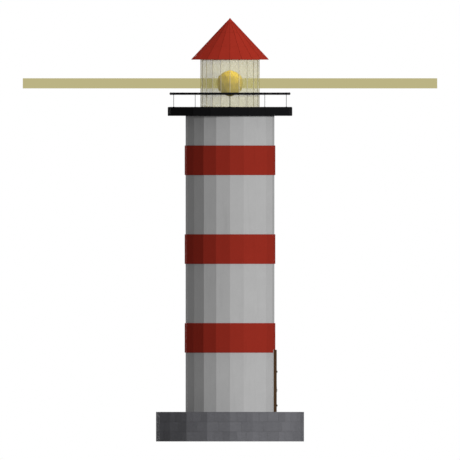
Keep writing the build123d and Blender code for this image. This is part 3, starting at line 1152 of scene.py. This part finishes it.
def geodesic_faces(radius, centre):
    """The three corners of each facet of the lens: the faces of an icosahedron, each cut in four."""
    golden = (1 + sqrt(5)) / 2
    base = []
    for i in (-1, 1):
        for j in (-golden, golden):
            base += [Vector((i, j, 0)), Vector((0, i, j)), Vector((j, 0, i))]
    # Its edges are 2 long, and any other two of its corners are further apart.
    edge_limit = 2.1
    halves = [
        (first + second) / 2
        for number, first in enumerate(base)
        for second in base[number + 1 :]
        if (first - second).length < edge_limit
    ]
    bm = bmesh.new()
    for corner in base + halves:
        bm.verts.new(centre + corner.normalized() * radius)
    bmesh.ops.convex_hull(bm, input=bm.verts)
    faces = [[vert.co.copy() for vert in face.verts] for face in bm.faces]
    bm.free()
    return faces


def edge_place(first, second, centre):
    """The place at the middle of an edge, X along it and Z away from the centre."""
    middle = (first + second) / 2
    along = (second - first).normalized()
    out = (middle - centre).normalized()
    turned = Matrix((along, out.cross(along), out)).transposed().to_4x4()
    return Matrix.Translation(middle) @ turned


class LIGHTHOUSE_OT_optic(bpy.types.Operator):
    """Cuts the lens's prisms, straps its edges in brass, and finishes its spindle and bearing"""

    bl_idname = "lighthouse.optic"
    bl_label = "Optic"

    def execute(self, context):
        optic = settings("optic")
        centre = Vector((0, 0, LENS_Z))
        faces = geodesic_faces(LENS_RADIUS, centre)
        if len(faces) != LENS_FACETS:
            raise RuntimeError(f"the lens has {len(faces)} facets, and not {LENS_FACETS}")
        self.prisms(optic, faces, centre)
        self.strips(optic, faces, centre)
        dress(steel_finish(optic.steel), "optic_spindle")
        dress(iron_finish("bearing_iron", settings("door").iron), "optic_bearing")
        return {"FINISHED"}

    def prisms(self, optic, faces, centre):
        """Each facet in prism steps, which rise towards its middle and drop again."""
        flat = 0.6  # the flat triangle in a facet's middle, as a share of a prism's width
        bm = bmesh.new()
        for corners in faces:
            middle = sum(corners, Vector()) / 3
            out = (middle - centre).normalized() * optic.prism_depth
            outer = [bm.verts.new(corner) for corner in corners]
            for prism in range(optic.prisms):
                left = 1 - (prism + 1) / (optic.prisms + flat)
                shrunk = [middle.lerp(corner, left) for corner in corners]
                crest = [bm.verts.new(point + out) for point in shrunk]
                trough = [bm.verts.new(point) for point in shrunk]
                for side in range(3):
                    after = (side + 1) % 3
                    bm.faces.new((outer[side], outer[after], crest[after], crest[side]))
                    bm.faces.new((crest[side], crest[after], trough[after], trough[side]))
                outer = trough
            bm.faces.new(outer)
        bmesh.ops.remove_doubles(bm, verts=bm.verts, dist=0.0001)
        lens = make_piece("lens_prisms", bm, lens_finish(optic.amber), OPTIC)
        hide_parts("optic_lens")

    def strips(self, optic, faces, centre):
        """A brass strip over each edge between two facets."""
        arris = 0.0012
        digits = 4  # both facets beside an edge give it, and rounding to these makes the two the same
        edges = {}
        for corners in faces:
            for first, second in zip(corners, corners[1:] + corners[:1]):
                ends = sorted(((*first,), (*second,)))
                edges[tuple(round(value, digits) for end in ends for value in end)] = (first, second)
        bm = bmesh.new()
        for first, second in edges.values():
            size = ((second - first).length, optic.strip_width, 2 * optic.strip_height)
            add_block(bm, size, edge_place(first, second, centre), arris)
        make_piece("lens_strips", bm, brass_finish(optic.brass), OPTIC)


# ---------------------------------------------------------------- door


def add_boards(bm, lowest, highest, boards, arris):
    """Upright boards side by side that fill a box, with a V-joint between each two."""
    width = (highest.y - lowest.y) / boards
    size = (highest.x - lowest.x, width, highest.z - lowest.z)
    middle = (lowest + highest) / 2
    for board in range(boards):
        y = lowest.y + (board + 0.5) * width
        add_block(bm, size, Matrix.Translation((middle.x, y, middle.z)), arris)


def covered(node, y, z, margin):
    """Whether a point on the door's face lies behind this node."""
    lowest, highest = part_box(node)
    across = lowest.y - margin < y < highest.y + margin
    return across and lowest.z - margin < z < highest.z + margin


class LIGHTHOUSE_OT_door(bpy.types.Operator):
    """Boards the door, nails and bolts it, and trims its frame"""

    bl_idname = "lighthouse.door"
    bl_label = "Door"

    def execute(self, context):
        door = settings("door")
        case = frame_finish(door.timber)
        iron = iron_finish("black_iron", door.iron)
        dress(case, "door_frame")
        dress(ledge_finish(door.timber), "door_ledges")
        dress(iron, "door_straps", "door_pintles", "door_ring")
        self.boards(door, board_finish(door.timber))
        self.nails(door, iron)
        self.strap_bolts(door, iron)
        self.trim(door, case)
        return {"FINISHED"}

    def boards(self, door, timber):
        """The leaf's boards, and those of the fixed panel over it."""
        bm = bmesh.new()
        add_boards(bm, LEAF_LOW, LEAF_HIGH, door.boards, door.groove)
        leaf = make_piece("door_boards", bm, timber, DOOR)
        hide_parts("door_leaf")

        bm = bmesh.new()
        add_boards(bm, low("door_overpanel"), high("door_overpanel"), door.boards, door.groove)
        panel = make_piece("overpanel_boards", bm, timber, TOWER)
        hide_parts("door_overpanel")

    def nails(self, door, iron):
        """Two rose-headed nails through each board at each ledge, and their clenched ends behind."""
        half_ledge = door.ledge_height / 2
        lowest = low("door_ledges").z + half_ledge
        highest = high("door_ledges").z - half_ledge
        width = (LEAF_HIGH.y - LEAF_LOW.y) / door.boards
        back = low("door_ledges").x
        edge = high("door_ledges").y - door.nail_radius
        stagger = half_ledge * 0.36  # how far one nail is over the ledge's middle, and the other under it
        head = door.nail_radius * 0.55
        end_radius, end_height = door.nail_radius * 0.6, door.nail_radius * 0.3
        bm = bmesh.new()
        for level in (lowest, (lowest + highest) / 2, highest):
            for board in range(door.boards):
                y = LEAF_LOW.y + (board + 0.5) * width
                for side in (-1, 1):
                    across = y + side * width / 4
                    z = level + side * stagger
                    if not covered("door_ring", across, z, door.nail_radius):
                        place = Matrix.Translation((LEAF_HIGH.x - SINK, across, z))
                        add_dome(bm, place, door.nail_radius, head, sides=6)
                    if abs(across) < edge:
                        place = Matrix.Translation((back + SINK, across, z)) @ Matrix.Rotation(pi, 4, "Z")
                        add_dome(bm, place, end_radius, end_height, sides=6)
        make_piece("door_nails", bm, iron, DOOR)

    def strap_bolts(self, door, iron):
        """Bolt heads along both strap hinges."""
        half_strap = door.strap_height / 2
        head = door.bolt_radius * 0.7
        hinge_inset, free_inset = 0.06, 0.075
        first = LEAF_HIGH.y - hinge_inset
        last = low("door_straps").y + free_inset
        bm = bmesh.new()
        for z in (low("door_straps").z + half_strap, high("door_straps").z - half_strap):
            for bolt in range(door.bolts_per_strap):
                y = first + (last - first) * bolt / (door.bolts_per_strap - 1)
                place = Matrix.Translation((LEAF_HIGH.x + door.strap_thickness - SINK, y, z))
                add_dome(bm, place, door.bolt_radius, head, rings=3)
        make_piece("strap_bolts", bm, iron, DOOR, rounded=True)

    def trim(self, door, timber):
        """A moulding planted round the frame's outer edge, and the pegs of its joints."""
        width = door.moulding
        thickness = 0.008
        margin = 0.003  # from the frame's edges to the moulding
        arris = 0.0035
        side = CASE_HIGH.y - width / 2 - margin
        head = CASE_HIGH.z - width / 2 - margin
        x = CASE_HIGH.x + thickness / 2 - SINK
        height = CASE_HIGH.z - CASE_LOW.z - width - 2 * margin
        bm = bmesh.new()
        for y in (-side, side):
            place = Matrix.Translation((x, y, CASE_LOW.z + height / 2 + margin))
            add_block(bm, (thickness, width, height), place, arris)
        add_block(bm, (thickness, 2 * side + width, width), Matrix.Translation((x, 0, head)), arris)
        make_piece("frame_moulding", bm, timber, TOWER)

        half_stile = 0.06
        half_transom = 0.05
        half_threshold = 0.025
        peg_radius, peg_height = 0.009, 0.003
        threshold = CASE_LOW.z + half_threshold
        transom = LEAF_HIGH.z - LEAF_LAP + half_transom
        stile = CASE_HIGH.y - half_stile
        pegs = bmesh.new()
        for z in (threshold, transom, CASE_HIGH.z - half_stile):
            for y in (-stile, stile):
                add_dome(pegs, Matrix.Translation((CASE_HIGH.x - SINK, y, z)), peg_radius, peg_height)
        make_piece("frame_pegs", pegs, timber, TOWER)


# ---------------------------------------------------------------- stage


def heading(angle):
    """The level direction of a bearing round the tower."""
    return Vector((sin(angle), -cos(angle), 0))


def sun(name, towards, energy, spread):
    """A lamp that shines from a direction, as soft as its spread in degrees."""
    data = bpy.data.lights.new(name, "SUN")
    data.energy = energy
    data.angle = radians(spread)
    made = bpy.data.objects.new(name, data)
    made.rotation_euler = towards.to_track_quat("Z", "Y").to_euler()
    bpy.context.scene.collection.objects.link(made)


def lantern_lamp(name, place, size, energy):
    """A round lamp inside the lantern, under its roof, that shines on the lens."""
    data = bpy.data.lights.new(name, "AREA")
    data.shape = "DISK"
    data.size = size
    data.energy = energy
    made = bpy.data.objects.new(name, data)
    made.location = place
    made.rotation_euler = (place - Vector((0, 0, LENS_Z))).to_track_quat("Z", "Y").to_euler()
    made.visible_camera = False
    made.visible_glossy = False
    bpy.context.scene.collection.objects.link(made)


def seen_directly(wire):
    """1 for the camera and for what mirrors and glass show, and 0 for light from all round."""
    path = wire.node("ShaderNodeLightPath", output="Is Camera Ray")
    return path + path.beside("Is Glossy Ray") + path.beside("Is Transmission Ray")


class LIGHTHOUSE_OT_stage(bpy.types.Operator):
    """Sets up the pale floor, the soft studio light, the camera and the lamp's two beams"""

    bl_idname = "lighthouse.stage"
    bl_label = "Stage"

    def execute(self, context):
        stage = settings("stage")
        context.scene.view_settings.view_transform = "Standard"
        self.world(context.scene, stage)
        self.suns(stage)
        self.lantern_lamps(stage)
        self.floor()
        self.camera(context.scene, stage)
        self.beams(stage)
        return {"FINISHED"}

    def world(self, scene, stage):
        """Soft light from all round, and a white backdrop."""
        world = bpy.data.worlds.new("studio")
        world.use_nodes = True
        world.node_tree.nodes.clear()
        sky = Wire(world.node_tree)
        soft = sky.node("ShaderNodeBackground", None, {"Strength": stage.ambient, "Color": (1, 1, 1, 1)})
        white = sky.node("ShaderNodeBackground", None, {"Strength": 1.0, "Color": (1, 1, 1, 1)})
        both = sky.node("ShaderNodeMixShader", None, {0: seen_directly(sky), 1: soft, 2: white})
        sky.node("ShaderNodeOutputWorld", None, {"Surface": both})
        scene.world = world

    def suns(self, stage):
        """Three low lamps and one high one, whose light comes from far off."""
        crisp, soft = 5, 20
        lift = Vector((0, 0, 0.045))  # a low lamp's height, for each metre that it is away
        behind = Vector((-0.17, 1, 0))
        sun("side_lamp", heading(stage.side_bearing) + lift, stage.side_light, crisp)
        sun("top_lamp", Vector((0, 0, 1)), stage.top_light, soft)
        sun("back_lamp", behind + lift, stage.back_light, crisp)
        sun("fill_lamp", heading(stage.fill_bearing) + lift, stage.fill_light, crisp)

    def lantern_lamps(self, stage):
        """A wide lamp over the lens, and a small one on the side lamp's side."""
        drop = 0.12  # from the heads' top down to the lamps
        near, far = 0.2, 1.05  # from the tower's axis
        wide = LANTERN_RADIUS * 1.3
        small = LENS_RADIUS * 0.8
        ceiling = Vector((0, 0, LANTERN_TOP - drop))
        side = heading(stage.side_bearing)
        lantern_lamp("ceiling_lamp", side * near + ceiling, wide, stage.ceiling_light)
        lantern_lamp("lens_lamp", side * far + ceiling, small, stage.lens_light)

    def floor(self):
        """A wide pale floor that throws little light back."""
        material, place = new_finish("floor_pale")
        dim = linear((0.48, 0.48, 0.48))
        pale = linear((0.97, 0.97, 0.97))
        colour = seen_directly(place).blend(dim, pale)
        finished(material, place, base_color=colour, roughness=0.9, specular_ior_level=0.0)
        bm = bmesh.new()
        bmesh.ops.create_circle(bm, cap_ends=True, segments=96, radius=120.0)
        make_piece("studio_floor", bm, material)

    def camera(self, scene, stage):
        """A camera without perspective, level with the tower's middle, with the door on its right."""
        data = bpy.data.cameras.new("camera")
        data.type = "ORTHO"
        data.ortho_scale = stage.frame_width
        data.clip_end = 400.0
        distance = 60.0
        camera = bpy.data.objects.new("camera", data)
        camera.location = (0, -distance, stage.eye_height)
        camera.rotation_euler = (pi / 2, 0, 0)
        scene.collection.objects.link(camera)
        scene.camera = camera

    def beams(self, stage):
        """The two beams of light, which turn with the lens and aren't part of the building."""
        material, place = new_finish("beam_light")
        clear = place.node("ShaderNodeBsdfTransparent")
        light = place.node("ShaderNodeEmission", None, {"Color": linear(stage.beam), "Strength": 1.0})
        mixed = place.node("ShaderNodeMixShader", None, {0: stage.beam_density, 1: clear, 2: light})
        place.node("ShaderNodeOutputMaterial", None, {"Surface": mixed})
        # A beam starts inside the lens, so that no gap shows between them.
        start = LENS_RADIUS * 0.9
        steps = 48
        for name, side in (("beam_west", -1), ("beam_east", 1)):
            bm = bmesh.new()
            rims = []
            for x in (start, stage.beam_reach):
                middle = Vector((side * x, 0, LENS_Z))
                rim = [Vector((0, cos(turn), sin(turn))) * stage.beam_radius for turn in turns(steps)]
                rims.append([bm.verts.new(middle + point) for point in rim])
            bridge(bm, *rims)
            beam = make_piece(name, bm, material, rounded=True)
            beam.visible_shadow = False
            beam.visible_diffuse = False
            beam.visible_glossy = False
            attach(beam, OPTIC)


# ---------------------------------------------------------------- add-on


class LIGHTHOUSE_PT_panel(bpy.types.Panel):
    """Lists each part of the lighthouse with its sizes and colours."""

    bl_idname = "LIGHTHOUSE_PT_panel"
    bl_label = "Lighthouse"
    bl_space_type = "VIEW_3D"
    bl_region_type = "UI"
    bl_category = "Lighthouse"

    def draw(self, context):
        for group, kind in SETTINGS.items():
            box = self.layout.box()
            box.operator(f"lighthouse.{group}")
            for name in kind.__annotations__:
                box.prop(settings(group), name)


OPERATORS = (
    LIGHTHOUSE_OT_plinth,
    LIGHTHOUSE_OT_shaft,
    LIGHTHOUSE_OT_gallery,
    LIGHTHOUSE_OT_lantern,
    LIGHTHOUSE_OT_roof,
    LIGHTHOUSE_OT_optic,
    LIGHTHOUSE_OT_door,
    LIGHTHOUSE_OT_stage,
)


def register():
    """Adds the settings, the operators and the panel."""
    for group, kind in SETTINGS.items():
        bpy.utils.register_class(kind)
        setattr(bpy.types.Scene, f"lighthouse_{group}", PointerProperty(type=kind))
    for operator in OPERATORS:
        bpy.utils.register_class(operator)
    bpy.utils.register_class(LIGHTHOUSE_PT_panel)


def unregister():
    """Takes them away again."""
    bpy.utils.unregister_class(LIGHTHOUSE_PT_panel)
    for operator in reversed(OPERATORS):
        bpy.utils.unregister_class(operator)
    for group, kind in SETTINGS.items():
        delattr(bpy.types.Scene, f"lighthouse_{group}")
        bpy.utils.unregister_class(kind)


def main():
    """Builds the looks in order."""
    register()
    bpy.ops.lighthouse.plinth()
    bpy.ops.lighthouse.shaft()
    bpy.ops.lighthouse.gallery()
    bpy.ops.lighthouse.lantern()
    bpy.ops.lighthouse.roof()
    bpy.ops.lighthouse.optic()
    bpy.ops.lighthouse.door()
    bpy.ops.lighthouse.stage()


if __name__ == "__main__":
    main()
